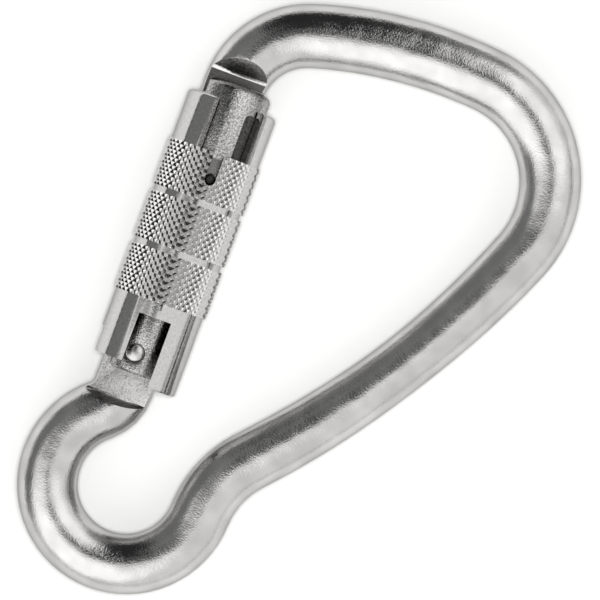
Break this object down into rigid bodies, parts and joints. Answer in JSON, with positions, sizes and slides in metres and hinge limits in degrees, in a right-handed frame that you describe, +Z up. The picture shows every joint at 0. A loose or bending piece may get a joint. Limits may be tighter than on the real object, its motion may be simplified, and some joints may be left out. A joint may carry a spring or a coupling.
{
  "type": "locking carabiner",
  "caption": "Pear-shaped steel connector with a small captive eye, a hinged gate and a knurled sleeve that lifts and twists to unlock it.",
  "frame": {"origin": "middle of the underside of the bounding box, on the surface that it lies on", "axes": "+Y along the gate from hinge to nose, +X from the gate to the spine, +Z up through the carabiner's thickness"},
  "size_m": [0.0864, 0.1276, 0.0192],
  "materials": {
    "polished_steel": "tumbled and polished stainless steel",
    "turned_steel": "turned stainless steel, diamond knurled in three bands",
    "gate_steel": "bead-blasted stainless steel",
    "pin_steel": "ground steel",
    "spring_steel": "drawn spring wire"
  },
  "bodies": {
    "body": {"forged_body": "polished_steel", "hinge_rivet": "pin_steel"},
    "gate": {"gate_body": "gate_steel", "nose_pin": "pin_steel", "guide_pin": "pin_steel", "gate_spring": "spring_steel", "sleeve_spring": "spring_steel", "retaining_ring": "spring_steel"},
    "plunger": {"gate_plunger": "pin_steel"},
    "carrier": {"thrust_washer": "pin_steel"},
    "sleeve": {"locking_sleeve": "turned_steel"}
  },
  "joints": [
    {"name": "gate_swing", "type": "hinge", "parent": "body", "child": "gate", "pos_m": [-0.02891, -0.01722, 0.00959], "axis": [0, 0, -1], "range_deg": [0, 36], "stiffness_Nm_per_rad": 0.2, "springref_deg": -28.65},
    {"name": "plunger_slide", "type": "slide", "parent": "gate", "child": "plunger", "axis": [0, 1, 0], "range_m": [0, 0.0012], "deforming": ["gate_spring"]},
    {"name": "sleeve_lift", "type": "slide", "parent": "gate", "child": "carrier", "axis": [0, 1, 0], "range_m": [0, 0.003], "stiffness_N_per_m": 500, "springref_m": -0.006, "deforming": ["sleeve_spring"]},
    {"name": "sleeve_twist", "type": "hinge", "parent": "carrier", "child": "sleeve", "pos_m": [-0.02802, -0.01722, 0.00959], "axis": [0, 1, 0], "range_deg": [0, 90]}
  ],
  "couplings": [
    {"joint": "sleeve_twist", "follows": "gate_swing", "ratio": 2.5},
    {"joint": "plunger_slide", "follows": "gate_swing", "m_per_rad": 0.0019098}
  ]
}
